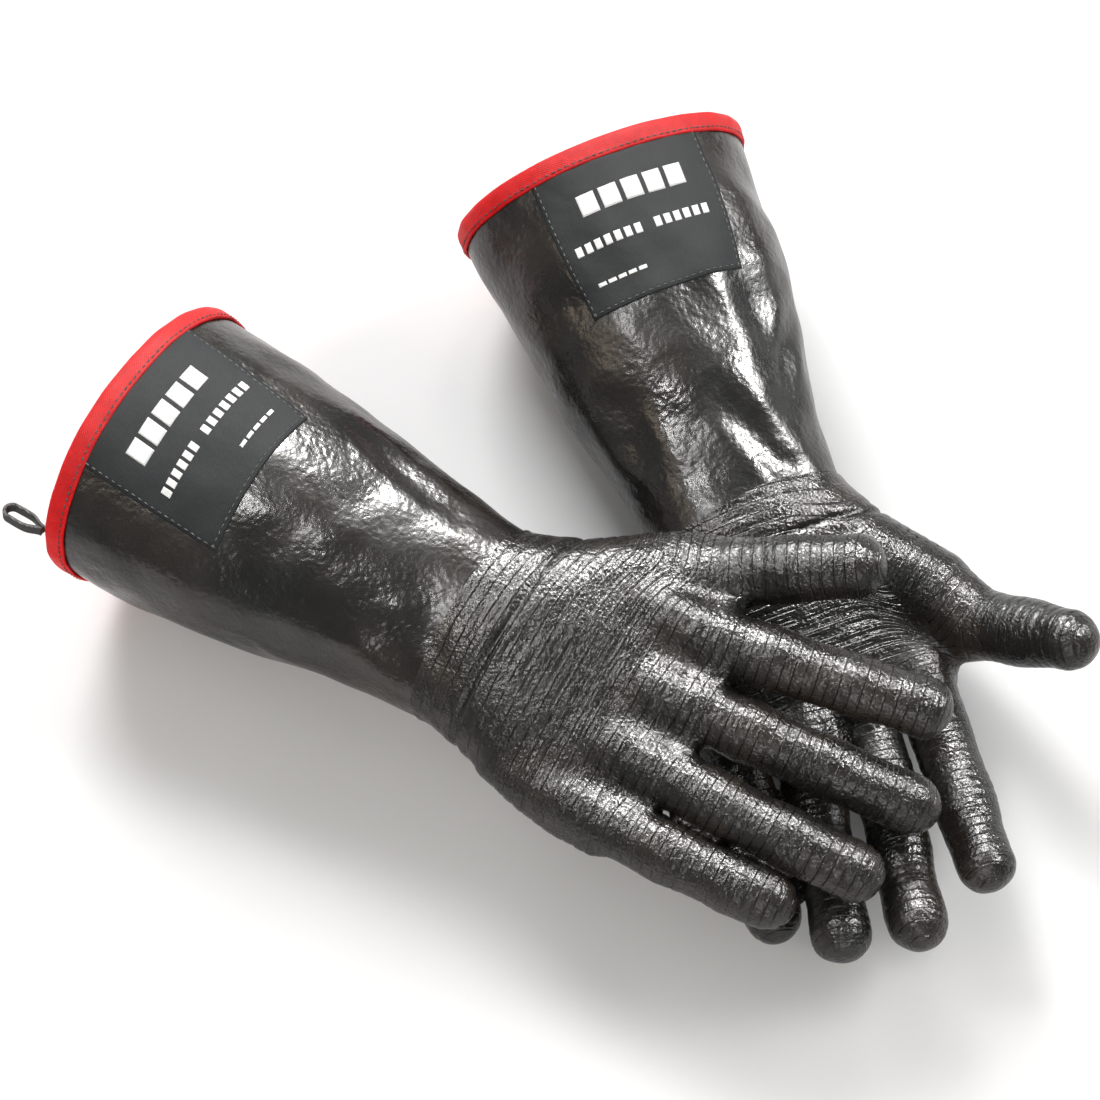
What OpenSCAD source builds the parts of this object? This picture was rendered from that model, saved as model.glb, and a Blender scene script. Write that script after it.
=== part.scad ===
// A pair of long rubber-coated insulating gauntlet gloves, lying one on the other.
// Each glove is built in its own frame: +X towards the fingers from the wrist,
// +Y towards the thumb, +Z out of the back of the hand. The left glove mirrors the right.

/* [Gauntlet] */
// Length of the sleeve, from the cuff's edge to the wrist
sleeve_length = 150; // [110:1:240]
// Width across the cuff
cuff_width = 120; // [100:1:140]
// Height of the cuff from back to palm side
cuff_height = 100; // [80:1:120]
// Width across the wrist
wrist_width = 83; // [70:1:95]
// Height of the wrist from back to palm side
wrist_height = 60; // [50:1:72]

/* [Layers] */
// Thickness of the rubber coating
coating_wall = 1.6; // [1:0.1:2.4]
// Thickness of the knitted liner
liner_wall = 1.2; // [0.8:0.1:1.8]
// Air between the coating and the liner
layer_gap = 0.3; // [0.1:0.1:0.6]

/* [Hand] */
// Length of the palm, from the wrist to the middle knuckle
palm_length = 86; // [76:1:110]
// Height of the hand at the knuckles
palm_height = 36; // [32:1:44]
// Distance between neighbouring knuckles
knuckle_pitch = 26.5; // [25.5:0.5:30]
// How far the outer knuckles lie behind the middle one
knuckle_fall = 12; // [4:1:20]

/* [Fingers] */
// Length of the index finger, from its knuckle to its tip
index_length = 96; // [70:1:120]
// Length of the middle finger, from its knuckle to its tip
middle_length = 104; // [75:1:130]
// Length of the ring finger, from its knuckle to its tip
ring_length = 97; // [70:1:120]
// Length of the little finger, from its knuckle to its tip
little_length = 80; // [60:1:100]
// Length of the thumb, from its joint to its tip
thumb_length = 62; // [50:1:80]
// Diameter of a finger at its knuckle
finger_root_d = 24; // [20:0.5:25]
// Diameter of a finger near its tip
finger_tip_d = 22; // [17:0.5:24]
// Diameter of the thumb at its joint
thumb_root_d = 27; // [24:0.5:28]
// Diameter of the thumb near its tip
thumb_tip_d = 24; // [20:0.5:27]

/* [Trim] */
// Width of the binding round the cuff's edge
binding_width = 7; // [4:0.5:12]
// Thickness of the binding
binding_wall = 1.2; // [0.6:0.1:2]
// Length of the label along the sleeve
label_length = 58; // [30:1:70]
// Width of the label round the sleeve
label_width = 68; // [40:1:80]
// Thickness of the label
label_wall = 0.8; // [0.5:0.1:1.5]
// Width of the hanging loop's strap
loop_strap = 4; // [3:0.5:8]
// How far the hanging loop reaches past the cuff
loop_reach = 20; // [12:1:40]

/* [Hidden] */
FINGERS = ["index", "middle", "ring", "little", "thumb"];

// How each glove lies: whether it is mirrored, its wrist's place, its roll, pitch and yaw,
// the angles round the cuff of its label and its loop, how its cuff is turned and moved
// across and up from the hand's own axis, and its fingers' [splay, drop, sway, curl] in degrees: the first
// two aim a finger at its root, the last two are how far it turns on to its tip
right = [false, [-30, -46.6, 52.5], [17, -7, -33.5], [90, 165], [-17, 0, 18.6],
    [[10, 9, 3, 10], [5, 9, 3, 18], [0, 3, 4, 16], [2, 1, 4, 14], [30, -6, 0, 8]]];
left = [true, [76, 8.4, 33.8], [180, 8, -68], [-90, 90], [0, 0, 2.3],
    [[-6, 5, -4, 18], [-9, 3, -6, 24], [-11, 1, -6, 26], [-8, -1, -4, 12], [42, 38, 0, 10]]];

clearance = 0.3;
round_n = 28;
finger_n = 14;
liner_n = 10;
liner_inset = coating_wall + layer_gap;
liner_bore = liner_inset + liner_wall;
knuckle_out = 5;
palm_slack = 1.2;
palm_half = 1.5 * knuckle_pitch + finger_root_d / 2 + coating_wall + palm_slack;
flare_power = 0.75;
thumb_bulge = 5;
thumb_seat = [palm_length - 72, palm_half - 32.55, -4];
thumb_bend_at = [palm_length - 30, palm_half + 0.45, -9];
thumb_joint = [palm_length - 11, palm_half + 10.45, -10];
mouth_square = 3;
thumb_turn = 30;
thumb_drop = 10;
thumb_slack = 1;
seat_swell = 3;
bend_swell = 1.5;
root_rings = [-45, -22];
tip_rings = [30, 58, 80];
overcut = 0.01;
label_lift = 0.5;
print_lift = 0.05;
print_wall = 0.3;
thread_d = 0.6;
stitch_inset = 2;
strap_wall = 1.4;
loop_stand = 1.2;
loop_pinch = 0.75;
tab_depth = 9;

function wrist_place(g) = g[1];
function wrist_turn(g) = g[2];
function label_angle(g) = g[3][0];
function loop_angle(g) = g[3][1];
function cuff_twist(g) = g[4][0];
function cuff_shift(g) = [0, g[4][1], g[4][2]];
function finger_pose(g, f) = g[5][f];

function lerp(a, b, t) = a + (b - a) * t;
function ease(t) = (1 - cos(180 * t)) / 2;
function sgn_pow(v, p) = sign(v) * pow(abs(v), p);

// ---- closed skins from rings of points ----

function ring_quads(count, n, closed) = [
    for (k = [0 : count - (closed ? 1 : 2)]) for (i = [0 : n - 1])
        let (a = k * n, b = ((k + 1) % count) * n, j = (i + 1) % n)
        each [[a + i, b + i, b + j], [a + i, b + j, a + j]]
];

// A chain of rings, closed by a flat cap at each end
module capped_skin(rings) {
    n = len(rings[0]);
    last = (len(rings) - 1) * n;
    polyhedron([for (r = rings) each r], concat(
        ring_quads(len(rings), n, false),
        [[for (i = [0 : n - 1]) i], [for (i = [n - 1 : -1 : 0]) last + i]]
    ));
}

// A chain of rings whose last ring joins its first
module looped_skin(rings) {
    polyhedron([for (r = rings) each r], ring_quads(len(rings), len(rings[0]), true));
}

// ---- the sleeve and the hand ----

// A point of the sleeve, a share t of the way from the wrist to the cuff, at angle a
function sleeve_point(g, t, a, out) = let (
        flare = ease(pow(max(t, 0), flare_power)),
        y = (lerp(wrist_width, cuff_width, flare) / 2 + out) * cos(a),
        z = (lerp(wrist_height, cuff_height, flare) / 2 + out) * sin(a),
        turn = cuff_twist(g) * t
    ) [-sleeve_length * t, y * cos(turn) - z * sin(turn), y * sin(turn) + z * cos(turn)]
        + t * cuff_shift(g);

function sleeve_ring(g, t, out, n) = [for (i = [0 : n - 1]) sleeve_point(g, t, 360 * i / n, out)];

function knuckle_line(y) = palm_length - knuckle_fall * pow(y / (2 * knuckle_pitch), 2);

function palm_high(s, out) = lerp(wrist_height, palm_height, ease(s)) / 2 + out;
function palm_wide(s, out) = lerp(wrist_width / 2, palm_half, ease(s)) + out;

// One ring of the hand, a share s of the way from the wrist to the knuckles
function hand_ring(s, out, n) = let (
        power = 2 / lerp(2, mouth_square, s),
        bulge = thumb_bulge * sin(180 * min(max(s, 0), 1))
    ) [for (i = [0 : n - 1]) let (
            a = 360 * i / n,
            y = (palm_wide(s, out) + (cos(a) > 0 ? bulge : 0)) * sgn_pow(cos(a), power)
        ) [s * knuckle_line(y), y, palm_high(s, out) * sgn_pow(sin(a), power)]];

// ---- fingers ----

// Place of a finger's joint, f from 0 for the index finger to 4 for the thumb
function joint_place(f) = f == 4
    ? thumb_joint
    : let (y = (1.5 - f) * knuckle_pitch) [knuckle_line(y) + knuckle_out, y, 0];
function finger_length(f) =
    [index_length, middle_length, ring_length, little_length, thumb_length][f];
function root_d(f) = f == 4 ? thumb_root_d : finger_root_d;
function tip_d(f) = f == 4 ? thumb_tip_d : finger_tip_d;

// Direction that is turned towards the thumb by splay and towards the palm by drop
function aim(splay, drop) = [cos(splay) * cos(drop), sin(splay) * cos(drop), -sin(drop)];
function across(splay) = [-sin(splay), cos(splay), 0];

bends = 6;
// Centres of a finger's rings, from its joint to the centre of its round tip
function finger_path(g, f, step, k = 0, at = [0, 0, 0]) = let (
        pose = finger_pose(g, f),
        turn = (k + 0.5) / bends
    ) k > bends ? [] : concat([at],
        finger_path(g, f, step, k + 1,
            at + step * aim(pose[0] + pose[2] * turn, pose[1] + pose[3] * turn)));

function disc(at, splay, drop, r, n) = let (
        side = across(splay),
        up = cross(aim(splay, drop), side)
    ) [for (i = [0 : n - 1]) at + r * (cos(360 * i / n) * side + sin(360 * i / n) * up)];

// The rings of a finger's skin from its open root to its round tip
function finger_rings(g, f, inset, n) = let (
        pose = finger_pose(g, f),
        root = root_d(f) / 2 - inset,
        tip = tip_d(f) / 2 - inset,
        step = (finger_length(f) - tip_d(f) / 2) / bends,
        path = finger_path(g, f, step),
        here = joint_place(f),
        last = [pose[0] + pose[2], pose[1] + pose[3]]
    ) concat(
        [for (b = root_rings)
            disc(here + root * sin(b) * aim(pose[0], pose[1]), pose[0], pose[1], root * cos(b), n)],
        [for (k = [0 : bends]) disc(here + path[k], pose[0] + pose[2] * k / bends,
            pose[1] + pose[3] * k / bends, lerp(root, tip, k / bends), n)],
        [for (b = tip_rings) disc(here + path[bends] + tip * sin(b) * aim(last[0], last[1]),
            last[0], last[1], tip * cos(b), n)]
    );

function backwards(list) = [for (k = [len(list) - 1 : -1 : 0]) list[k]];

module finger_skin(g, f, outside, inside, n) {
    capped_skin(concat(backwards(finger_rings(g, f, inside, n)), finger_rings(g, f, outside, n)));
}

// ---- placing a glove ----

module lay(g) {
    turn = wrist_turn(g);
    translate(wrist_place(g)) rotate([0, 0, turn[2]]) rotate([0, turn[1], 0])
        rotate([turn[0], 0, 0]) mirror([0, g[0] ? 1 : 0, 0]) children();
}

// ---- sub-parts of one glove ----

rubber = [0.13, 0.12, 0.11];
knit = [0.78, 0.74, 0.66];
red = [0.86, 0.05, 0.05];
slate = [0.14, 0.16, 0.17];
pale = [0.92, 0.92, 0.9];

module gauntlet(g) {
    shares = [for (k = [0 : 8]) k / 8];
    color(rubber) lay(g) looped_skin(concat(
        [for (t = backwards(shares)) sleeve_ring(g, t, 0, round_n)],
        [for (t = shares) sleeve_ring(g, t, -coating_wall, round_n)]
    ));
}

module sleeve_liner(g) {
    shares = [for (k = [0 : 6]) k / 6];
    color(knit) lay(g) looped_skin(concat(
        [for (t = backwards(shares)) sleeve_ring(g, t, -liner_inset, round_n)],
        [for (t = shares) sleeve_ring(g, t, -liner_bore, round_n)]
    ));
}

// The space inside a skin of the hand, with the socket that the thumb grows from:
// socket is how much of the way to the thumb's joint it reaches
module hand_space(out, from, to, socket) {
    wide = thumb_root_d / 2 + coating_wall + thumb_slack + out;
    capped_skin([for (k = [0 : 7]) hand_ring(lerp(from, to, k / 7), out, round_n)]);
    capped_skin([
        disc(thumb_seat, thumb_turn, thumb_drop, wide + seat_swell, round_n),
        disc(thumb_bend_at, thumb_turn, thumb_drop, wide + bend_swell, round_n),
        disc(lerp(thumb_bend_at, thumb_joint, socket), thumb_turn, thumb_drop,
            lerp(wide + bend_swell, wide, socket), round_n)
    ]);
}

module hand_shell(g) {
    color(rubber) lay(g) difference() {
        hand_space(0, 0, 1, 0.8);
        hand_space(-coating_wall, -overcut, 1 + overcut, 0.85);
    }
}

module hand_liner(g) {
    color(knit) lay(g) difference() {
        hand_space(-liner_inset, 0, 0.9, 0.4);
        hand_space(-liner_bore, -overcut, 0.9 + overcut, 0.45);
    }
}

module finger_stall(g, f) {
    color(rubber) lay(g) finger_skin(g, f, 0, coating_wall, finger_n);
}

module finger_liner(g, f) {
    color(knit) lay(g) finger_skin(g, f, liner_inset, liner_bore, liner_n);
}

// A strip that folds over the cuff's edge
module cuff_binding(g) {
    lip = binding_width / sleeve_length;
    fold = (binding_wall + clearance / 2) / sleeve_length;
    snug = clearance / 2;
    color(red) lay(g) looped_skin(backwards([
        sleeve_ring(g, 1 - lip, snug, round_n),
        sleeve_ring(g, 1 - lip, snug + binding_wall, round_n),
        sleeve_ring(g, 1 + fold, snug + binding_wall, round_n),
        sleeve_ring(g, 1 + fold, -liner_bore - clearance - binding_wall, round_n),
        sleeve_ring(g, 1 - lip, -liner_bore - clearance - binding_wall, round_n),
        sleeve_ring(g, 1 - lip, -liner_bore - clearance, round_n),
        sleeve_ring(g, 1 + snug / sleeve_length, -liner_bore - clearance, round_n),
        sleeve_ring(g, 1 + snug / sleeve_length, snug, round_n)
    ]));
}

// A line of thread that holds the binding on
module binding_stitching(g) {
    row = 1 - (binding_width - stitch_inset) / sleeve_length;
    span = thread_d / sleeve_length;
    low = clearance / 2 + binding_wall;
    color(slate) lay(g) looped_skin(backwards([
        sleeve_ring(g, row, low, round_n), sleeve_ring(g, row, low + thread_d, round_n),
        sleeve_ring(g, row + span, low + thread_d, round_n), sleeve_ring(g, row + span, low, round_n)
    ]));
}

// A plate that follows the sleeve: x from the cuff's edge, y round the sleeve
module sleeve_plate(g, x, y, low, high) {
    cols = 10;
    rows = 4;
    ring = 2 * cols + 2;
    around = PI * (cuff_width + cuff_height) / 2;
    function spot(u, v, out) = sleeve_point(g, 1 - lerp(x[0], x[1], u) / sleeve_length,
        label_angle(g) - lerp(y[0], y[1], v) * 360 / around, out);
    points = [for (k = [0 : rows]) each concat(
        [for (i = [0 : cols]) spot(k / rows, i / cols, low)],
        [for (i = [cols : -1 : 0]) spot(k / rows, i / cols, high)]
    )];
    // Each end is closed by small flat faces from the plate's underside to its top
    ends = [for (i = [0 : cols - 1]) let (a = [i, i + 1, ring - 2 - i, ring - 1 - i])
        each [a, [for (k = [3 : -1 : 0]) a[k] + rows * ring]]];
    polyhedron(points, concat(ring_quads(rows + 1, ring, false), ends));
}

module label_patch(g) {
    x = binding_width + clearance;
    color(slate) lay(g) sleeve_plate(g, [x, x + label_length],
        [-label_width / 2, label_width / 2], label_lift, label_lift + label_wall);
}

// Plain bars that stand for the printing on the label
module label_print(g) {
    x = binding_width + clearance;
    low = label_lift + label_wall + print_lift;
    // Each bar's start and end along the label and half its width, as shares of the label
    bars = [[0.16, 0.44, 0.34], [0.56, 0.68, 0.4], [0.8, 0.85, 0.16]];
    color(pale) lay(g) for (b = bars)
        sleeve_plate(g, [x + b[0] * label_length, x + b[1] * label_length],
            [-b[2] * label_width, b[2] * label_width], low, low + print_wall);
}

// The place on the cuff's end where the hanging loop is sewn
function loop_root(g) = sleeve_point(g, 1, loop_angle(g), -liner_bore / 2)
    - [clearance / 2 + binding_wall + loop_stand, 0, 0];

// A strap bent into a narrow loop that reaches out past the cuff, pinched where it is sewn
module hanging_loop(g) {
    r = loop_strap / 2 + 1;
    bow = loop_reach - r - strap_wall / 2;
    line = concat(
        [[-loop_stand / 2, loop_pinch], [-3, loop_pinch + 0.25], [-bow / 2, r]],
        [for (a = [90 : 30 : 270]) [r * cos(a) - bow, r * sin(a)]],
        [[-bow / 2, -r], [-3, -loop_pinch - 0.25], [-loop_stand / 2, -loop_pinch]]
    );
    last = len(line) - 1;
    color(rubber) lay(g) translate(loop_root(g)) rotate([loop_angle(g) + cuff_twist(g), 0, 0])
        capped_skin([for (k = [0 : last]) let (
                along = line[min(k + 1, last)] - line[max(k - 1, 0)],
                n = [-along[1], along[0]] / norm(along) * strap_wall / 2
            ) [for (c = [[1, 1], [-1, 1], [-1, -1], [1, -1]])
                [line[k][0] + c[0] * n[0], line[k][1] + c[0] * n[1], c[1] * loop_strap / 2]]]);
}

// The sewn end of the loop, flat inside the binding
module loop_tab(g) {
    seat = liner_bore + binding_wall + 4 * clearance + strap_wall;
    color(slate) lay(g) translate(sleeve_point(g, 1, loop_angle(g), -seat))
        rotate([loop_angle(g) + cuff_twist(g), 0, 0]) translate([0, -strap_wall / 2, -loop_strap])
        cube([tab_depth, strap_wall, 2 * loop_strap]);
}

gauntlet(right);  // right_gauntlet
hand_shell(right);  // right_hand_shell
finger_stall(right, 0);  // right_index_stall
finger_stall(right, 1);  // right_middle_stall
finger_stall(right, 2);  // right_ring_stall
finger_stall(right, 3);  // right_little_stall
finger_stall(right, 4);  // right_thumb_stall
sleeve_liner(right);  // right_sleeve_liner
hand_liner(right);  // right_hand_liner
finger_liner(right, 0);  // right_index_liner
finger_liner(right, 1);  // right_middle_liner
finger_liner(right, 2);  // right_ring_liner
finger_liner(right, 3);  // right_little_liner
finger_liner(right, 4);  // right_thumb_liner
cuff_binding(right);  // right_cuff_binding
binding_stitching(right);  // right_binding_stitching
label_patch(right);  // right_label_patch
label_print(right);  // right_label_print
hanging_loop(right);  // right_hanging_loop
loop_tab(right);  // right_loop_tab
gauntlet(left);  // left_gauntlet
hand_shell(left);  // left_hand_shell
finger_stall(left, 0);  // left_index_stall
finger_stall(left, 1);  // left_middle_stall
finger_stall(left, 2);  // left_ring_stall
finger_stall(left, 3);  // left_little_stall
finger_stall(left, 4);  // left_thumb_stall
sleeve_liner(left);  // left_sleeve_liner
hand_liner(left);  // left_hand_liner
finger_liner(left, 0);  // left_index_liner
finger_liner(left, 1);  // left_middle_liner
finger_liner(left, 2);  // left_ring_liner
finger_liner(left, 3);  // left_little_liner
finger_liner(left, 4);  // left_thumb_liner
cuff_binding(left);  // left_cuff_binding
binding_stitching(left);  // left_binding_stitching
label_patch(left);  // left_label_patch
label_print(left);  // left_label_print
hanging_loop(left);  // left_hanging_loop
loop_tab(left);  // left_loop_tab
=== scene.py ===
"""A pair of long rubber-coated gauntlet gloves, lying one on the other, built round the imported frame.

Each glove is made in its own frame, +X towards the fingers from the wrist, +Y towards the thumb
and +Z out of the back of the hand, and then laid in place; the left glove mirrors the right.
"""

import math

import bpy
import numpy as np
from mathutils import Matrix, Vector


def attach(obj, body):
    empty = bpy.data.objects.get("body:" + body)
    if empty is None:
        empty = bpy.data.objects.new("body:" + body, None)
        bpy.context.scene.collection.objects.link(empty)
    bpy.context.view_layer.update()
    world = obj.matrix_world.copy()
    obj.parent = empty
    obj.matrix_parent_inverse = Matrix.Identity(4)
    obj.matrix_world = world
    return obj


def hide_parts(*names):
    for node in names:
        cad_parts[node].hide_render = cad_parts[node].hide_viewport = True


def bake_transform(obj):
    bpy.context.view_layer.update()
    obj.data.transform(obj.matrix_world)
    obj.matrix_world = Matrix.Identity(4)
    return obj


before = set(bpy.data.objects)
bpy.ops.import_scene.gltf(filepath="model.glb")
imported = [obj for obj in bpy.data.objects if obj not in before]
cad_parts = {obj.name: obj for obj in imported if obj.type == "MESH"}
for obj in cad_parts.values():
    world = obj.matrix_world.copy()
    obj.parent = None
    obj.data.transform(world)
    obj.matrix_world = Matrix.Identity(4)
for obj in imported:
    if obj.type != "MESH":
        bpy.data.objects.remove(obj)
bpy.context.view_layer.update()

bl_info = {
    "name": "Rubber gauntlet gloves",
    "version": (1, 0, 0),
    "blender": (4, 5, 0),
    "location": "3D View > Sidebar > Gloves",
    "description": "Builds the skins, trim and stage of a pair of insulating gauntlet gloves",
    "category": "Object",
}

MM = 0.001
FINGERS = ("index", "middle", "ring", "little", "thumb")

# How each glove lies, as the frame has it: wrist's place (mm), roll, pitch and yaw, the angles
# round the cuff of the label and the loop, the cuff's twist and shift (mm), and each finger's
# [splay, drop, sway, curl] in degrees
LAID = {
    "right": dict(
        mirrored=False, place=(-30, -46.6, 52.5), turn=(17, -7, -33.5), label=90, loop=165,
        cuff=(-17, 0, 18.6),
        fingers=((10, 9, 3, 10), (5, 9, 3, 18), (0, 3, 4, 16), (2, 1, 4, 14), (30, -6, 0, 8)),
    ),
    "left": dict(
        mirrored=True, place=(76, 8.4, 33.8), turn=(180, 8, -68), label=-90, loop=90,
        cuff=(0, 0, 2.3),
        fingers=((-6, 5, -4, 18), (-9, 3, -6, 24), (-11, 1, -6, 26), (-8, -1, -4, 12),
                 (42, 38, 0, 10)),
    ),
}
BENDS = 6                  # links of a finger's middle line
THUMB_SEAT = (14, 22, -4)  # where the thumb's mound starts, bends and ends, in mm
THUMB_BEND = (56, 55, -9)
THUMB_JOINT = (75, 65, -10)
THUMB_DRAWN_IN = {"right": 0.0, "left": 4 * MM}
FINGER_PLUMP = 0.7 * MM    # how far the coating swells past the finger's bare size
WEB_REACH = 17 * MM        # webs between the fingers, past the knuckles
SPLIT = 11 * MM            # where a finger's own piece starts, past its joint
THUMB_SPLIT = 4.5 * MM
WEB_FILLET = 4.0 * MM
THUMB_FILLET = 9 * MM
GROOVE_AT = 20 * MM        # the collar's groove, from the wrist
GROOVE_WIDE = 1.3 * MM
GROOVE_DEEP = 1.3 * MM
LABEL_GAP = 0.12 * MM      # air under the label
LABEL_CROWN = 0.3 * MM
INK_SUNK, INK_WALL = 0.05 * MM, 0.14 * MM
LABEL_SEAM = 1.6 * MM      # from the label's edge to its stitches
SEAM_SUNK = 0.12 * MM
LOOP_CLEAR = 1.2 * MM      # from the binding to where a loop starts
BINDING_GAP = 0.15 * MM    # air between the binding and the sleeve

# Long soft folds of the coating: start and end in the glove's frame, half width and depth, in mm
FOLDS = {
    "right": (((-120, 42, 26), (-18, 34, 24), 5, 1.6), ((-96, 22, 38), (-30, 12, 31), 7, 0.9),
              ((-60, -36, 24), (-8, -38, 10), 8, 1.4), ((-30, -10, 30), (2, -34, 20), 6, 0.9)),
    "left": (((-110, 30, -36), (-24, 30, -22), 8, 1.8), ((-70, 44, -14), (-40, 34, -26), 5, 1.5),
             ((-66, -34, -28), (-12, -34, -16), 8, 1.4), ((-40, 2, -34), (4, 24, -26), 6, 1.0)),
}


def length(name, description, default, low=0.0, high=1.0):
    return bpy.props.FloatProperty(
        name=name, description=description, default=default, min=low, max=high,
        unit="LENGTH", precision=5)


def colour(name, description, default):
    return bpy.props.FloatVectorProperty(
        name=name, description=description, default=default, size=3, min=0, max=1, subtype="COLOR")


class GLOVES_PG_sizes(bpy.types.PropertyGroup):
    sleeve_length: length("Sleeve length", "From the cuff's edge to the wrist", 0.150)
    cuff_width: length("Cuff width", "Across the cuff", 0.120)
    cuff_height: length("Cuff height", "From back to palm side at the cuff", 0.100)
    wrist_width: length("Wrist width", "Across the wrist", 0.083)
    wrist_height: length("Wrist height", "From back to palm side at the wrist", 0.060)
    coating_wall: length("Coating", "Thickness of the rubber coating", 0.0016)
    liner_wall: length("Liner", "Thickness of the knitted liner", 0.0012)
    layer_gap: length("Layer gap", "Air between the coating and the liner", 0.0003)
    palm_length: length("Palm length", "From the wrist to the middle knuckle", 0.086)
    palm_height: length("Palm height", "Of the hand between the knuckles", 0.026)
    knuckle_pitch: length("Knuckle pitch", "Between neighbouring knuckles", 0.0265)
    knuckle_fall: length("Knuckle fall", "How far the outer knuckles lie back", 0.012)
    index_length: length("Index finger", "From its knuckle to its tip", 0.096)
    middle_length: length("Middle finger", "From its knuckle to its tip", 0.104)
    ring_length: length("Ring finger", "From its knuckle to its tip", 0.097)
    little_length: length("Little finger", "From its knuckle to its tip", 0.080)
    thumb_length: length("Thumb", "From its joint to its tip", 0.062)
    finger_root_d: length("Finger root", "Diameter of a finger at its knuckle", 0.024)
    finger_tip_d: length("Finger tip", "Diameter of a finger near its tip", 0.022)
    thumb_root_d: length("Thumb root", "Diameter of the thumb at its joint", 0.027)
    thumb_tip_d: length("Thumb tip", "Diameter of the thumb near its tip", 0.024)
    hand_step: length("Hand coat step", "How far the hand's second coat stands proud", 0.0005)
    skin_step: length("Skin mesh step", "Size of the skin's faces", 0.00095, 0.0005, 0.01)
    lining_step: length("Lining mesh step", "Size of the lining's faces", 0.0024, 0.001, 0.01)


class GLOVES_PG_trim(bpy.types.PropertyGroup):
    binding_width: length("Binding width", "Width of the cuff's binding", 0.007)
    binding_wall: length("Binding wall", "Thickness of the binding", 0.0012)
    label_length: length("Label length", "Along the sleeve", 0.058)
    label_width: length("Label width", "Round the sleeve", 0.068)
    label_wall: length("Label wall", "Thickness of the label", 0.0008)
    loop_strap: length("Loop strap", "Width of the hanging loop's strap", 0.004)
    loop_wall: length("Loop wall", "Thickness of the hanging loop's strap", 0.0014)
    loop_reach: length("Loop reach", "How far the loop reaches past the cuff", 0.020)
    stitch_length: length("Stitch length", "Length of one stitch", 0.0020, 0.0005, 0.01)
    stitch_pitch: length("Stitch pitch", "From one stitch to the next", 0.0029, 0.0005, 0.02)
    thread_d: length("Thread", "Diameter of the sewing thread", 0.0006, 0.0002, 0.002)


class GLOVES_PG_finish(bpy.types.PropertyGroup):
    sleeve_dark: colour("Sleeve", "The sleeve's rubber", (0.0070, 0.0065, 0.0062))
    sleeve_brown: colour("Sleeve's brown", "Where the rubber looks thinner", (0.021, 0.0155, 0.0115))
    hand_dark: colour("Hand", "The hand's crinkled rubber", (0.0095, 0.0088, 0.0080))
    hand_brown: colour("Hand's brown", "Worn, brownish patches", (0.030, 0.0225, 0.0170))
    binding: colour("Binding", "The cuff's binding", (0.78, 0.004, 0.006))
    label: colour("Label", "The label's cloth", (0.018, 0.021, 0.023))
    print: colour("Print", "The label's plain bars", (0.86, 0.86, 0.85))
    lining: colour("Lining", "The knitted liner", (0.62, 0.58, 0.50))
    strap: colour("Strap", "The hanging loop", (0.008, 0.008, 0.008))
    thread: colour("Thread", "The sewing thread", (0.014, 0.014, 0.015))
    crease_pitch: length("Crease pitch", "Between the hand's crease lines", 0.0048, 0.001, 0.02)
    finger_pitch: length("Finger crease pitch", "Between a finger's crease lines", 0.0043, 0.001,
                         0.02)
    crease_depth: length("Crease depth", "Depth of the crease lines", 0.00045, 0, 0.002)
    dent_depth: length("Dent depth", "Depth of the sleeve's soft dents", 0.0016, 0, 0.01)


class GLOVES_PG_stage(bpy.types.PropertyGroup):
    elevation: bpy.props.FloatProperty(
        name="Camera elevation", description="Above the horizon", default=math.radians(66),
        subtype="ANGLE")
    distance: length("Camera distance", "From the gloves' middle", 1.6, 0.5, 5)
    lens: bpy.props.FloatProperty(
        name="Lens", description="Focal length on a 36 mm sensor, in mm", default=133.6, min=20)
    aim: bpy.props.FloatVectorProperty(
        name="Aim", description="What the camera looks at", default=(0.000, -0.005, 0.030),
        size=3, subtype="TRANSLATION")
    floor: colour("Floor", "The floor", (0.93, 0.93, 0.93))
    light: bpy.props.FloatProperty(
        name="Light", description="Strength of the studio light", default=1.0, min=0)


def sizes():
    return bpy.context.scene.glove_sizes


def trim():
    return bpy.context.scene.glove_trim


def finish():
    return bpy.context.scene.glove_finish


# ---- shape of a glove, in its own frame ----


def lerp(a, b, t):
    return a + (b - a) * t


def ease(t):
    return (1 - np.cos(np.pi * np.clip(t, 0, 1))) / 2


def smooth_union(a, b, k):
    h = np.clip(0.5 + 0.5 * (b - a) / k, 0, 1)
    return b + (a - b) * h - k * h * (1 - h)


def smooth_cut(a, b, k):
    return -smooth_union(-a, -b, k)


def aim(splay, drop):
    s, d = math.radians(splay), math.radians(drop)
    return np.array([math.cos(s) * math.cos(d), math.sin(s) * math.cos(d), -math.sin(d)])


def knuckle_line(y):
    s = sizes()
    return s.palm_length - s.knuckle_fall * (y / (2 * s.knuckle_pitch)) ** 2


def finger_joint(f):
    if f == 4:
        return np.array(THUMB_JOINT) * MM
    y = (1.5 - f) * sizes().knuckle_pitch
    return np.array([knuckle_line(y) + 5 * MM, y, 0.0])


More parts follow.
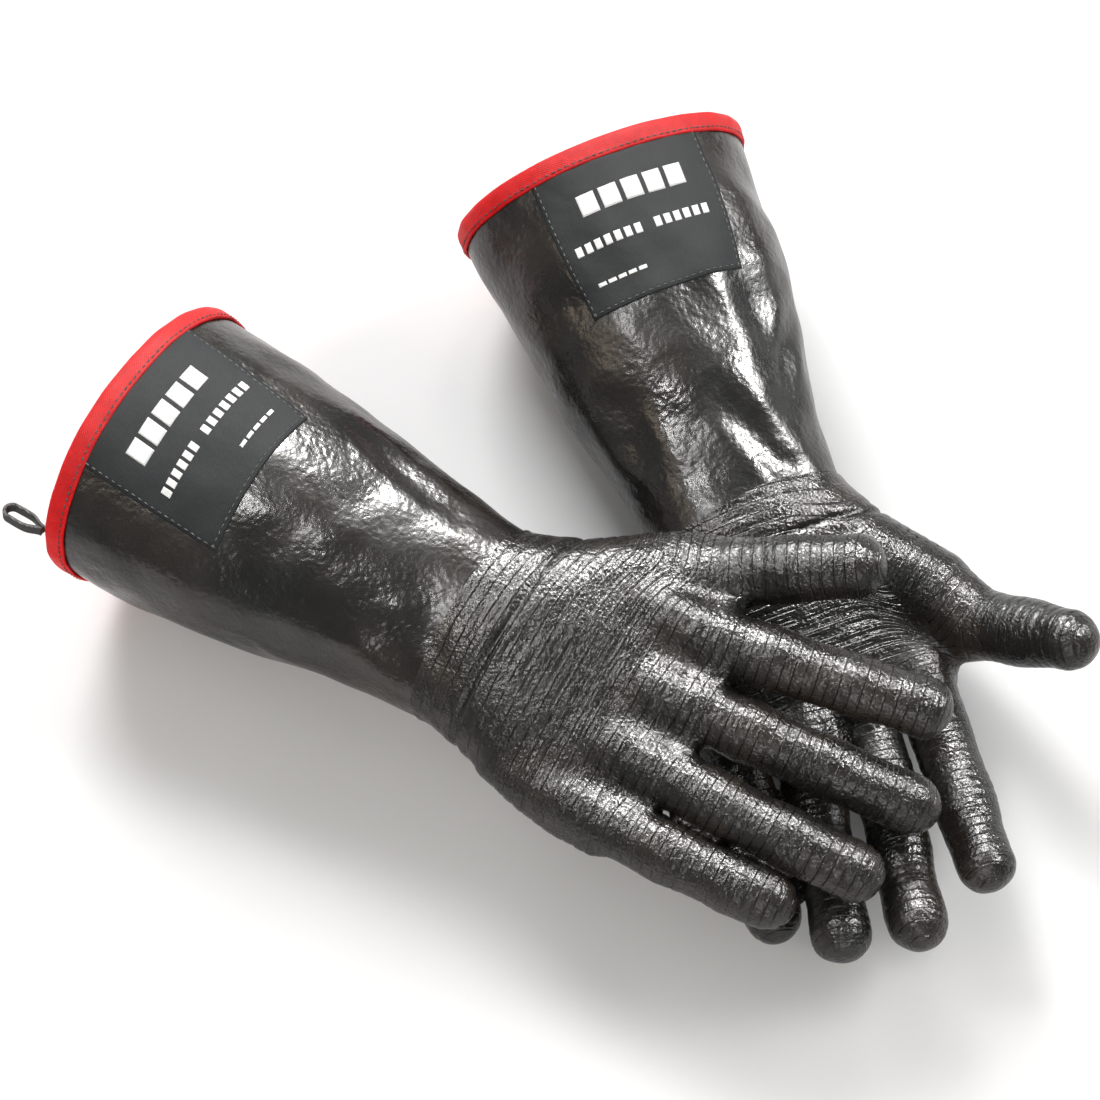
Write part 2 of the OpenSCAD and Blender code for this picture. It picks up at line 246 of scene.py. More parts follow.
def finger_line(glove, f):
    """Centres and radii down a finger, from inside the hand to its tip, and where its joint is."""
    s = sizes()
    splay, drop, sway, curl = LAID[glove]["fingers"][f]
    reach = (s.index_length, s.middle_length, s.ring_length, s.little_length, s.thumb_length)[f]
    root, tip = ((s.thumb_root_d, s.thumb_tip_d) if f == 4 else (s.finger_root_d, s.finger_tip_d))
    joint = finger_joint(f)
    step = (reach - tip / 2 - (THUMB_DRAWN_IN[glove] if f == 4 else 0)) / BENDS
    centres, radii = [joint], [root / 2 + FINGER_PLUMP]
    for k in range(BENDS):
        turn = (k + 0.5) / BENDS
        centres.append(centres[-1] + step * aim(splay + sway * turn, drop + curl * turn))
        radii.append(lerp(root, tip, (k + 1) / BENDS) / 2 + FINGER_PLUMP)
    if f == 4:
        before = [np.array(THUMB_SEAT) * MM, np.array(THUMB_BEND) * MM]
        wide = [root / 2 + 4.6 * MM, root / 2 + 3.0 * MM]
    else:
        back = -aim(splay * 0.4, 0)
        before = [joint + 46 * MM * back + np.array([0, 0, 4 * MM]),
                  joint + 14 * MM * back + np.array([0, 0, 2.6 * MM])]
        wide = [8 * MM, 12.9 * MM]
    return np.array(before + centres), np.array(wide + radii), len(before)


def chain_field(p, centres, radii, start):
    """How far points lie outside a chain of round links, and how far along it they are."""
    best = np.full(len(p), 1e9)
    along = np.zeros(len(p))
    steps = np.linalg.norm(np.diff(centres, axis=0), axis=1)
    at = np.concatenate([[0], np.cumsum(steps)])
    at -= at[start]
    for k in range(len(centres) - 1):
        link = centres[k + 1] - centres[k]
        away = p - centres[k]
        raw = away @ link / (link @ link)
        t = np.clip(raw, 0, 1)
        away -= t[:, None] * link
        d = np.sqrt((away ** 2).sum(1)) - lerp(radii[k], radii[k + 1], t)
        nearer = d < best
        best[nearer] = d[nearer]
        past = raw if k == len(centres) - 2 else t
        along[nearer] = (at[k] + past * steps[k])[nearer]
    knobs = 0.35 * MM * np.cos(along * (2 * math.pi / 0.031) + 0.8)
    return best - np.where(along > 0, knobs, 0), along


def trunk_field(glove, p):
    """How far points lie outside the sleeve and the palm."""
    s = sizes()
    twist, across, up = LAID[glove]["cuff"]
    x, y, z = p.T
    share = np.clip(x / knuckle_line(y), 0, 1.2)
    e = ease(share)
    half = 1.5 * s.knuckle_pitch + s.finger_root_d / 2 + s.coating_wall + 1.2 * MM
    hand_y = lerp(s.wrist_width / 2, half, e) + np.where(
        y > 0, 5 * MM * np.sin(np.pi * np.clip(share, 0, 1)), 0)
    past = np.clip((x - knuckle_line(y) + 20 * MM) / (WEB_REACH + 14 * MM), 0, 1)
    hand_z = lerp(s.wrist_height, s.palm_height, e) / 2 * (1 - 0.46 * ease(past))
    t = np.clip(-x / s.sleeve_length, 0, 1.1)
    flare = ease(t ** 0.75)
    sleeve_y = lerp(s.wrist_width, s.cuff_width, flare) / 2
    sleeve_z = lerp(s.wrist_height, s.cuff_height, flare) / 2
    turn = math.radians(twist) * t
    yc, zc = y - across * MM * t, z - up * MM * t
    y2 = yc * np.cos(turn) + zc * np.sin(turn)
    z2 = zc * np.cos(turn) - yc * np.sin(turn)
    on_hand = x > 0
    a, b = np.where(on_hand, hand_y, sleeve_y), np.where(on_hand, hand_z, sleeve_z)
    n = np.where(on_hand, lerp(2, 3, np.clip(share, 0, 1)), 2)
    u, v = np.abs(np.where(on_hand, y, y2) / a), np.abs(np.where(on_hand, z, z2) / b)
    r = np.maximum((u ** n + v ** n) ** (1 / n), 1e-6)
    slope = r ** (1 - n) * np.sqrt((u ** (n - 1) / a) ** 2 + (v ** (n - 1) / b) ** 2)
    d = (r - 1) / np.maximum(slope, 1 / (2 * a))
    return smooth_cut(d, x - knuckle_line(y) - WEB_REACH, 7 * MM)


def glove_field(glove, p):
    """The whole glove's outside, with each finger's own field and how far along it a point is."""
    trunk = trunk_field(glove, p)
    own, along = [], []
    fingers = np.full(len(p), 1e9)
    for f in range(4):
        d, a = chain_field(p, *finger_line(glove, f))
        own.append(d), along.append(a)
        fingers = smooth_union(fingers, d, 1.4 * MM)
    whole = smooth_union(trunk, fingers, WEB_FILLET)
    d, a = chain_field(p, *finger_line(glove, 4))
    own.append(d), along.append(a)
    return smooth_union(whole, d, THUMB_FILLET), trunk, own, along


def slope_of(field, p, h=0.05 * MM):
    here = field(p)
    g = np.stack([(field(p + h * e) - here) / h for e in np.eye(3)], 1)
    return here, g


def waves(p, size, seed, count=9):
    """Smooth random relief of about the given size, from -1 to 1."""
    rng = np.random.default_rng(seed)
    total = np.zeros(len(p))
    for _ in range(count):
        k = rng.normal(size=3)
        k *= 2 * math.pi / (size * rng.uniform(0.75, 1.5)) / np.linalg.norm(k)
        total += np.cos(p @ k + rng.uniform(0, 2 * math.pi))
    return np.clip(total / (0.75 * count ** 0.5) / 1.6, -1, 1)


def soft_relief(glove, p):
    """Dents and long folds that every layer of a glove follows."""
    seed = 11 if glove == "right" else 23
    on_sleeve = 1 - ease((p[:, 0] + 10 * MM) / (50 * MM))
    at_cuff = ease((-p[:, 0] - 0.80 * sizes().sleeve_length) / (0.2 * sizes().sleeve_length))
    depth = finish().dent_depth * lerp(0.45, 1, on_sleeve) * lerp(1, 0.45, at_cuff)
    relief = depth * (0.75 * waves(p, 52 * MM, seed) + 0.25 * waves(p, 20 * MM, seed + 1) - 0.75)
    for start, end, wide, deep in FOLDS[glove]:
        a, b = np.array(start) * MM, np.array(end) * MM
        line = b - a
        t = np.clip((p - a) @ line / (line @ line), 0, 1)
        off = np.linalg.norm(p - a - t[:, None] * line, axis=1) / (wide * MM)
        fade = np.sin(np.pi * np.clip(0.08 + 0.84 * t, 0, 1))
        relief += deep * MM * fade * (0.45 * np.exp(-((off - 1.7) ** 2) * 1.6) - np.exp(-off ** 2))
    return relief


def crease_rows(row, spacing, p, seed):
    """Relief of the broken crease lines that cross the hand and the fingers, 0 to 1."""
    drift = 0.10 * waves(p, 40 * MM, seed) + 0.04 * waves(p, 11 * MM, seed + 3)
    off = np.abs((row + drift) % 1 - 0.5) * spacing
    broken = np.clip(0.62 + 0.75 * waves(p, 17 * MM, seed + 5), 0.08, 1)
    return np.exp(-((off / (0.55 * MM)) ** 2)) * broken


# ---- meshes ----


def lay_matrix(glove):
    g = LAID[glove]
    roll, pitch, yaw = (math.radians(a) for a in g["turn"])
    return (Matrix.Translation(Vector(g["place"]) * MM) @ Matrix.Rotation(yaw, 4, "Z")
            @ Matrix.Rotation(pitch, 4, "Y") @ Matrix.Rotation(roll, 4, "X")
            @ Matrix.Diagonal((1, -1 if g["mirrored"] else 1, 1, 1)))


def laid(glove, points):
    m = np.array(lay_matrix(glove))
    return np.asarray(points, float) @ m[:3, :3].T + m[:3, 3]


def put_mesh(name, points, faces, material, normals=None, uv=None, **attributes):
    """A mesh piece from arrays of points and of four-sided faces."""
    me = bpy.data.meshes.new(name)
    faces = np.ascontiguousarray(faces, np.int32)
    me.vertices.add(len(points))
    me.vertices.foreach_set("co", np.ascontiguousarray(points, np.float32).ravel())
    me.loops.add(faces.size)
    me.loops.foreach_set("vertex_index", faces.ravel())
    me.polygons.add(len(faces))
    me.polygons.foreach_set("loop_start", np.arange(0, faces.size, 4, dtype=np.int32))
    me.polygons.foreach_set("use_smooth", np.ones(len(faces), bool))
    me.update(calc_edges=True)
    for key, values in attributes.items():
        data = me.attributes.new(key, "FLOAT", "POINT").data
        data.foreach_set("value", np.ascontiguousarray(values, np.float32))
    if uv is not None:
        layer = me.uv_layers.new(name="cloth")
        layer.data.foreach_set("uv", np.asarray(uv, np.float32)[faces.ravel()].ravel())
    if normals is not None:
        me.normals_split_custom_set_from_vertices(normals.tolist())
    me.materials.append(material)
    piece = bpy.data.objects.new(name, me)
    bpy.context.collection.objects.link(piece)
    return piece


def face_normals(points, faces):
    a, b, c, d = (points[faces[:, k]] for k in range(4))
    return np.cross(c - a, d - b)


def point_normals(points, faces):
    n = face_normals(points, faces)
    total = np.zeros_like(points)
    for k in range(4):
        for axis in range(3):
            total[:, axis] += np.bincount(faces[:, k], n[:, axis], len(points))
    return total / np.maximum(np.linalg.norm(total, axis=1, keepdims=True), 1e-12)


def walled(faces, count):
    """Faces of a closed wall: the outside, the same faces turned round inside, and the rims."""
    edges = np.concatenate([faces[:, [k, (k + 1) % 4]] for k in range(4)])
    key, back = edges[:, 0] * count + edges[:, 1], edges[:, 1] * count + edges[:, 0]
    rim = edges[~np.isin(key, back)]
    rims = np.stack([rim[:, 1], rim[:, 0], rim[:, 0] + count, rim[:, 1] + count], 1)
    return np.concatenate([faces, faces[:, ::-1] + count, rims])


def surface_net(field, low, high, step, coarse=3):
    """Points and four-sided faces where a field passes through nought, found on a grid."""
    shape = np.ceil((high - low) / step).astype(int) + 1
    big = shape // coarse + 2
    at = np.stack(np.meshgrid(*[np.arange(n) for n in big], indexing="ij"), -1).reshape(-1, 3)
    rough = field(low + at * step * coarse).reshape(big)
    index = [np.rint(np.arange(n) / coarse).astype(int) for n in shape]
    grid = rough[np.ix_(*index)]
    near = np.argwhere(np.abs(grid) < 2.1 * coarse * step)
    values = [field(low + part * step) for part in np.array_split(near, len(near) // 150000 + 1)]
    grid[tuple(near.T)] = np.concatenate(values)
    cells = shape - 1
    sums, hits, quads = np.zeros((int(cells.prod()), 3)), np.zeros(int(cells.prod())), []
    flat = lambda c: (c[:, 0] * cells[1] + c[:, 1]) * cells[2] + c[:, 2]
    for axis in range(3):
        a = grid[tuple(slice(0, -1) if k == axis else slice(None) for k in range(3))]
        b = grid[tuple(slice(1, None) if k == axis else slice(None) for k in range(3))]
        spots = np.argwhere((a < 0) != (b < 0))
        va, vb = a[tuple(spots.T)], b[tuple(spots.T)]
        place = spots.astype(float)
        place[:, axis] += va / (va - vb)
        u, v = (axis + 1) % 3, (axis + 2) % 3
        corners, whole = [], np.ones(len(spots), bool)
        for du, dv in ((0, 0), (-1, 0), (-1, -1), (0, -1)):
            c = spots.copy()
            c[:, u] += du
            c[:, v] += dv
            ok = ((c >= 0) & (c < cells)).all(1)
            whole &= ok
            f = flat(np.where(ok[:, None], c, 0))
            corners.append(f)
            hits += np.bincount(f[ok], minlength=len(hits))
            for k in range(3):
                sums[:, k] += np.bincount(f[ok], place[ok, k], len(sums))
        quad = np.stack(corners, 1)[whole]
        out = (va < 0)[whole]
        quads.append(np.where(out[:, None], quad, quad[:, ::-1]))
    faces = np.concatenate(quads)
    used, faces = np.unique(faces, return_inverse=True)
    points = low + sums[used] / hits[used, None] * step
    return points, faces.reshape(-1, 4)


def onto_field(field, points, rounds=3):
    for _ in range(rounds):
        d, g = slope_of(field, points)
        points = points - (d / np.maximum((g ** 2).sum(1), 0.05))[:, None] * g
    g = slope_of(field, points)[1]
    return points, g / np.linalg.norm(g, axis=1, keepdims=True)


def hand_skin(glove, inset, step, wrist):
    """Points, faces and outward directions of the hand and fingers, inset from the outside."""
    field = lambda p: glove_field(glove, p)[0] + inset
    ends = np.concatenate([finger_line(glove, f)[0] for f in range(5)])
    low, high = ends.min(0) - 20 * MM, ends.max(0) + 20 * MM
    low[1:] = np.minimum(low[1:], (-62 * MM, -34 * MM))
    high[1:] = np.maximum(high[1:], (62 * MM, 34 * MM))
    low[0] = wrist
    points, faces = surface_net(field, low, high, step)
    first = points[:, 0] < wrist + 0.75 * step
    points[first, 0] = wrist
    edge = points[:, 0].copy()
    turn = np.arctan2(points[:, 2], points[:, 1])
    wave = 1.3 * MM * (np.sin(2 * turn + 0.6) + 0.6 * np.sin(3 * turn + 2.0))
    points[:, 0] += wave * (1 - ease((edge - wrist) / (14 * MM)))
    points, out = onto_field(field, points)
    return points, faces, out


def finger_of(glove, points):
    """For each point the finger that it belongs to past that finger's split, or -1 for the hand."""
    nearest = np.argmin(np.stack(glove_field(glove, points)[2]), 0)
    owner = np.full(len(points), -1)
    for f in range(5):
        splay, drop = LAID[glove]["fingers"][f][:2]
        past = (points - finger_joint(f)) @ aim(splay, drop)
        owner[(nearest == f) & (past > (THUMB_SPLIT if f == 4 else SPLIT))] = f
    return owner


def split_pieces(glove, kind, points, inner, faces, normals, marks, material):
    """One walled piece for the hand, and one for each finger past its split.

    Marks are values at the points that the material reads.
    """
    flip = LAID[glove]["mirrored"]
    middle = points[faces].mean(1)
    owner = finger_of(glove, middle)
    world, world_in = laid(glove, points), laid(glove, inner)
    turn = np.array(lay_matrix(glove))[:3, :3]
    out = normals @ turn.T
    pieces = {}
    for f in range(-1, 5):
        mine = faces[owner == f]
        used, mine = np.unique(mine, return_inverse=True)
        mine = mine.reshape(-1, 4)
        if flip:
            mine = mine[:, ::-1]
        name = "hand" if f < 0 else FINGERS[f]
        shape = np.concatenate([world[used], world_in[used]])
        n = np.concatenate([out[used], -out[used]])
        pieces[name] = put_mesh(
            f"{glove}_{name}_{kind}", shape, walled(mine, len(used)), material, n,
            **{key: np.tile(values[used], 2) for key, values in marks.items()})
    return pieces


def bend_with_glove(piece, node):
    """Hide the CAD solid that a finger's piece stands for, and bake the piece's place into its mesh."""
    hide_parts(node)
    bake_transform(piece)


def crease_phase(glove, points):
    """The crease row that each point is in, and how near it is to the knuckles, 0 to 1."""
    fin = finish()
    trunk, own, along = glove_field(glove, points)[1:]
    weight = [np.exp(-np.clip(trunk, -6 * MM, 40 * MM) / (2.5 * MM))]
    row = [points[:, 0] / fin.crease_pitch]
    for f in range(5):
        start = finger_joint(f)[0] / fin.crease_pitch
        row.append(start + along[f] / fin.finger_pitch)
        deep = np.clip(own[f], -6 * MM, 40 * MM)
        weight.append(np.exp(-deep / (2.5 * MM)) * (1 if f == 4 else ease(
            (along[f] + 8 * MM) / (10 * MM))))
    weight = np.stack(weight)
    total = (weight * np.stack(row)).sum(0) / weight.sum(0)
    near = (points[:, 0] / knuckle_line(points[:, 1]) - 0.72) / 0.2
    return total, np.exp(-near ** 2)


# ---- finishes ----


class Finish:
    """A material and short ways to add its nodes."""

    def __init__(self, name):
        self.material = bpy.data.materials.new(name)
        self.material.use_nodes = True
        self.tree = self.material.node_tree
        self.shader = self.tree.nodes["Principled BSDF"]
        self.object = self.add("ShaderNodeTexCoord").outputs["Object"]

    def add(self, kind, **settings):
        node = self.tree.nodes.new(kind)
        for key, value in settings.items():
            setattr(node, key, value)
        return node

    def join(self, node, **inputs):
        for key, value in inputs.items():
            socket = node.inputs[int(key[1:])] if key[0] == "_" and key[1:].isdigit() else \
                node.inputs[key.replace("_", " ").title().replace("Ior", "IOR")]
            if isinstance(value, bpy.types.NodeSocket):
                self.tree.links.new(value, socket)
            else:
                socket.default_value = value
        return node

    def noise(self, scale, detail=2.0, roughness=0.5, distortion=0.0, vector=None):
        return self.join(self.add("ShaderNodeTexNoise"), vector=vector or self.object,
                         scale=scale, detail=detail, roughness=roughness,
                         distortion=distortion).outputs["Fac"]

    def cells(self, scale, feature="F1", randomness=1.0, vector=None):
        node = self.add("ShaderNodeTexVoronoi", feature=feature)
        return self.join(node, vector=vector or self.object, scale=scale,
                         randomness=randomness).outputs["Distance"]

    def stretch(self, scale, vector=None):
        return self.join(self.add("ShaderNodeMapping"), vector=vector or self.object,
                         scale=scale).outputs["Vector"]

    def math(self, operation, a, b=0.0, c=0.0, clamp=False):
        node = self.add("ShaderNodeMath", operation=operation, use_clamp=clamp)
        return self.join(node, _0=a, _1=b, _2=c).outputs[0]

    def remap(self, value, low, high, to_low=0.0, to_high=1.0, smooth=False):
        node = self.add("ShaderNodeMapRange",
                        interpolation_type="SMOOTHSTEP" if smooth else "LINEAR")
        return self.join(node, _0=value, _1=low, _2=high, _3=to_low, _4=to_high).outputs[0]

    def blend_colour(self, share, a, b):
        node = self.add("ShaderNodeMix", data_type="RGBA")
        pair = [(*c, 1) if not isinstance(c, bpy.types.NodeSocket) else c for c in (a, b)]
        return self.join(node, _0=share, _6=pair[0], _7=pair[1]).outputs[2]

    def attribute(self, name):
        return self.add("ShaderNodeAttribute", attribute_name=name).outputs["Fac"]

    def bump(self, height, distance, under=None):
        node = self.join(self.add("ShaderNodeBump"), height=height, distance=distance,
                         strength=1.0)
        if under is not None:
            self.tree.links.new(under, node.inputs["Normal"])
        return node.outputs["Normal"]

    def done(self, **inputs):
        self.join(self.shader, **inputs)
        return self.material


def made(name):
    """The finish of that name, built the first time that it is asked for."""
    own = f"glove_{name}"
    return bpy.data.materials.get(own) or FINISHES[name](own)


def sleeve_rubber(name):
    fin, m = finish(), Finish(name)
    patch = m.remap(m.noise(22, 3, 0.55), 0.42, 0.68, smooth=True)
    pebble = m.cells(520, "SMOOTH_F1")
    grain = m.noise(430, 3, 0.6)
    fine = m.noise(2100, 1)
    rough = m.math("ADD", m.remap(m.noise(34, 3), 0.35, 0.7, 0.17, 0.30),
                   m.math("MULTIPLY", fine, 0.10))
    normal = m.bump(m.noise(95, 2, 0.5), 0.0006)
    normal = m.bump(m.math("ADD", m.math("MULTIPLY", pebble, 0.7), grain), 0.00020, normal)
    normal = m.bump(fine, 0.00002, normal)
    dark = m.blend_colour(patch, fin.sleeve_dark, fin.sleeve_brown)
    worn = m.remap(m.noise(620, 2), 0.62, 0.74, 0, 0.5)
    return m.done(base_color=m.blend_colour(worn, dark, (0.0045, 0.004, 0.0036)),
                  roughness=rough, normal=normal)


def hand_rubber(name):
    fin, m = finish(), Finish(name)
    row = m.attribute("crease_row")
    knuckle = m.attribute("knuckle_share")
    drift = m.math("MULTIPLY", m.noise(30, 2), 0.30)
    wander = m.math("ADD", m.math("ADD", row, drift), m.math("MULTIPLY", m.noise(260, 2), 0.13))
    off = m.math("PINGPONG", wander, 0.5)
    line = m.remap(off, 0.0, 0.085, 1, 0, smooth=True)
    broken = m.remap(m.noise(110, 2), 0.34, 0.50, 0.25, 1.0, smooth=True)
    line = m.math("MULTIPLY", line, broken)
    thin_off = m.math("PINGPONG", m.math("MULTIPLY", wander, 2.7), 0.5)
    thin = m.remap(thin_off, 0.0, 0.16, 1, 0, smooth=True)
    thin = m.math("MULTIPLY", thin, m.math("MULTIPLY", knuckle, m.remap(
        m.noise(180, 2), 0.38, 0.6, 0.1, 1.0)))
    lines = m.math("MAXIMUM", line, m.math("MULTIPLY", thin, 0.7))
    crinkle = m.math("MULTIPLY", m.cells(680, "F1"), 1.0)
    grain = m.noise(900, 3, 0.62, 0.4)
    fine = m.noise(2600, 1)
    patch = m.remap(m.noise(30, 4, 0.6), 0.45, 0.66, smooth=True)
    dark = m.blend_colour(patch, fin.hand_dark, fin.hand_brown)
    speck = m.remap(grain, 0.50, 0.72, 0.0, 0.8)
    tone = m.blend_colour(speck, dark, (0.0040, 0.0034, 0.0030))
    # Painted shade: the crease lines darken the colour almost to black, standing in for shade in their
    # hollows.
    tone = m.blend_colour(m.math("MULTIPLY", lines, 0.9), tone, (0.0012, 0.0010, 0.0009))
    # Painted shade: the collar's groove is darkened almost to black in the colour.
    tone = m.blend_colour(m.attribute("collar_groove_shade"), tone, (0.0010, 0.0009, 0.0008))
    rough = m.math("ADD", m.remap(m.noise(48, 3), 0.35, 0.7, 0.18, 0.28),
                   m.math("MULTIPLY", grain, 0.07))
    normal = m.bump(m.noise(210, 3, 0.6), 0.0006)
    normal = m.bump(m.math("MULTIPLY", lines, -1.0), 0.0004, normal)
    normal = m.bump(m.math("ADD", crinkle, grain), 0.00020, normal)
    normal = m.bump(fine, 0.00003, normal)
    return m.done(base_color=tone, roughness=rough, normal=normal, specular_ior_level=0.42)


def uv_of(m):
    return m.add("ShaderNodeUVMap", uv_map="cloth").outputs["UV"]


def weave_of(m, pitch, twill=0.0):
    """Over and under of a plain weave on the piece's own map, 0 to 1, and its two threads."""
    parts = m.add("ShaderNodeSeparateXYZ")
    m.tree.links.new(uv_of(m), parts.inputs[0])
    u = m.math("MULTIPLY", parts.outputs["X"], math.pi / pitch)
    v = m.math("MULTIPLY", parts.outputs["Y"], math.pi / pitch)
    if twill:
        v = m.math("ADD", v, m.math("MULTIPLY", u, twill))
    warp = m.math("ABSOLUTE", m.math("SINE", u))
    weft = m.math("ABSOLUTE", m.math("SINE", v))
    over = m.math("MULTIPLY", m.math("SINE", u), m.math("SINE", v))
    return m.math("ADD", m.math("MULTIPLY", m.math("ADD", warp, weft), 0.35),
                  m.math("MULTIPLY", over, 0.3))


def red_binding(name):
    fin, m = finish(), Finish(name)
    weave = weave_of(m, 0.00055)
    fuzz = m.noise(1900, 3, 0.6)
    tone = m.blend_colour(m.remap(m.noise(260, 3), 0.3, 0.75, 0, 0.55), fin.binding,
                          tuple(c * 0.62 for c in fin.binding))
    tone = m.blend_colour(m.remap(weave, 0.0, 0.25, 0.45, 0), tone,
                          tuple(c * 0.35 for c in fin.binding))
    normal = m.bump(m.noise(150, 2), 0.0004)
    normal = m.bump(m.math("ADD", weave, m.math("MULTIPLY", fuzz, 0.5)), 0.00016, normal)
    return m.done(base_color=tone, roughness=m.remap(fuzz, 0.3, 0.7, 0.42, 0.62), normal=normal,
                  specular_ior_level=0.16)


def label_cloth(name):
    fin, m = finish(), Finish(name)
    weave = weave_of(m, 0.00042)
    fuzz = m.noise(2300, 2)
    tone = m.blend_colour(m.remap(m.noise(70, 3), 0.35, 0.7, 0, 0.5), fin.label,
                          tuple(c * 0.55 for c in fin.label))
    tone = m.blend_colour(m.remap(weave, 0.0, 0.3, 0.4, 0), tone, (0.004, 0.0045, 0.005))
    normal = m.bump(m.noise(110, 2), 0.0004)
    normal = m.bump(m.math("ADD", weave, m.math("MULTIPLY", fuzz, 0.3)), 0.00010, normal)
    return m.done(base_color=tone, roughness=m.remap(fuzz, 0.3, 0.7, 0.55, 0.72), normal=normal,
                  specular_ior_level=0.16)


def label_ink(name):
    fin, m = finish(), Finish(name)
    thin = m.remap(m.noise(700, 3, 0.6), 0.60, 0.74, 0, 0.55)
    normal = m.bump(m.noise(1500, 2), 0.00008)
    return m.done(base_color=m.blend_colour(thin, fin.print, tuple(c * 0.5 for c in fin.print)),
                  roughness=m.remap(thin, 0, 1, 0.45, 0.65), normal=normal)


def knit_liner(name):
    fin, m = finish(), Finish(name)
    stitch = m.remap(m.cells(820, "F1", 0.9), 0.1, 0.7, 1, 0)
    fuzz = m.noise(1400, 3, 0.65)
    tone = m.blend_colour(m.remap(stitch, 0.0, 0.5, 0.35, 0), fin.lining,
                          tuple(c * 0.45 for c in fin.lining))
    normal = m.bump(m.math("ADD", stitch, m.math("MULTIPLY", fuzz, 0.6)), 0.0004)
    return m.done(base_color=tone, roughness=m.remap(fuzz, 0.3, 0.7, 0.8, 0.95), normal=normal,
                  sheen_weight=0.2, sheen_roughness=0.5)


def loop_webbing(name):
    fin, m = finish(), Finish(name)
    rib = m.join(m.add("ShaderNodeTexWave", bands_direction="DIAGONAL"), vector=m.object,
                 scale=420, distortion=1.2, detail=1.0, detail_scale=2.0).outputs["Fac"]
    fuzz = m.noise(1700, 2)
    tone = m.blend_colour(rib, tuple(c * 0.5 for c in fin.strap),
                          tuple(min(1, c * 2.4) for c in fin.strap))
    normal = m.bump(m.math("ADD", rib, m.math("MULTIPLY", fuzz, 0.4)), 0.00018)
    return m.done(base_color=tone, roughness=m.remap(fuzz, 0.3, 0.7, 0.5, 0.7), normal=normal)


def sewing_thread(name):
    fin, m = finish(), Finish(name)
    twist = m.join(m.add("ShaderNodeTexWave", bands_direction="DIAGONAL"), vector=m.object,
                   scale=1500, distortion=0.6).outputs["Fac"]
    tone = m.blend_colour(twist, tuple(c * 0.5 for c in fin.thread), fin.thread)
    return m.done(base_color=tone, roughness=m.remap(twist, 0, 1, 0.6, 0.45),
                  normal=m.bump(twist, 0.00006))


def floor_paint(name):
    st, m = bpy.context.scene.glove_stage, Finish(name)
    tone = m.blend_colour(m.remap(m.noise(3, 3), 0.3, 0.7), tuple(st.floor),
                          tuple(c * 0.985 for c in st.floor))
    return m.done(base_color=tone, roughness=0.85, normal=m.bump(m.noise(400, 2), 0.00003))


FINISHES = {
    "sleeve_rubber": sleeve_rubber, "hand_rubber": hand_rubber, "red_binding": red_binding,
    "label_cloth": label_cloth, "label_ink": label_ink, "knit_liner": knit_liner,
    "loop_webbing": loop_webbing, "thread": sewing_thread, "floor_paint": floor_paint,
}


# ---- sleeve and what rides on it ----


def sleeve_at(glove, t, a, out, relief=True):
    """Points of the sleeve, a share t of the way from wrist to cuff at angle a (degrees)."""
    s = sizes()
    twist, across, up = LAID[glove]["cuff"]
    t, a = np.broadcast_arrays(np.asarray(t, float), np.radians(np.asarray(a, float)))
    t, a = t.ravel(), a.ravel()
    out = np.broadcast_to(np.asarray(out, float), t.shape)

    def shell(t, a, out):
        flare = ease(np.maximum(t, 0) ** 0.75)
        y = (lerp(s.wrist_width, s.cuff_width, flare) / 2 + out) * np.cos(a)
        z = (lerp(s.wrist_height, s.cuff_height, flare) / 2 + out) * np.sin(a)
        turn = math.radians(twist) * t
        return np.stack([-s.sleeve_length * t,
                         across * MM * t + y * np.cos(turn) - z * np.sin(turn),
                         up * MM * t + y * np.sin(turn) + z * np.cos(turn)], 1)

    base = shell(t, a, 0 * t)
    if not relief:
        return shell(t, a, out)
    return shell(t, a, out + soft_relief(glove, base))


def cuff_round():
    return math.pi * (sizes().cuff_width + sizes().cuff_height) / 2


def cuff_layers():
    """Thickness of all the layers at the cuff."""
    s = sizes()
    return s.coating_wall + s.layer_gap + s.liner_wall


def settle(piece, body, slot, *nodes):
    """Hang a piece on the body that it rides on, and hide the CAD solids that it stands for. The slot,
    its finish, is not used.
    """
    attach(piece, body)
    if nodes:
        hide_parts(*nodes)


def outward(points, faces):
    """The faces of a closed shape, all turned to point out."""
    middle = points[faces].mean(1) - points.mean(0)
    volume = np.einsum("ij,ij->", middle, face_normals(points, faces))
    return faces[:, ::-1] if volume < 0 else faces


def tube_faces(rings, around):
    k, i = np.meshgrid(np.arange(rings - 1), np.arange(around), indexing="ij")
    a, j = (k * around).ravel(), ((i + 1) % around).ravel()
    i = i.ravel()
    return np.stack([a + i, a + j, a + around + j, a + around + i], 1)


def turned_faces(glove, faces):
    return faces[:, ::-1] if LAID[glove]["mirrored"] else faces


def sleeve_tube(glove, name, outside, wall, ts, around, material):
    """A walled tube along the sleeve from share ts[0], near the cuff, to ts[-1], near the wrist."""
    a = np.arange(around) * 360 / around
    t, ang = np.meshgrid(ts, a, indexing="ij")
    points = sleeve_at(glove, t, ang, -outside)
    inner = sleeve_at(glove, t, ang, -outside - wall)
    faces = tube_faces(len(ts), around)[:, ::-1]
    normals = point_normals(points, faces)
    turn = np.array(lay_matrix(glove))[:3, :3]
    out = normals @ turn.T
    world = laid(glove, np.concatenate([points, inner]))
    faces = walled(turned_faces(glove, faces), len(points))
    return put_mesh(f"{glove}_{name}", world, faces, material, np.concatenate([out, -out]))


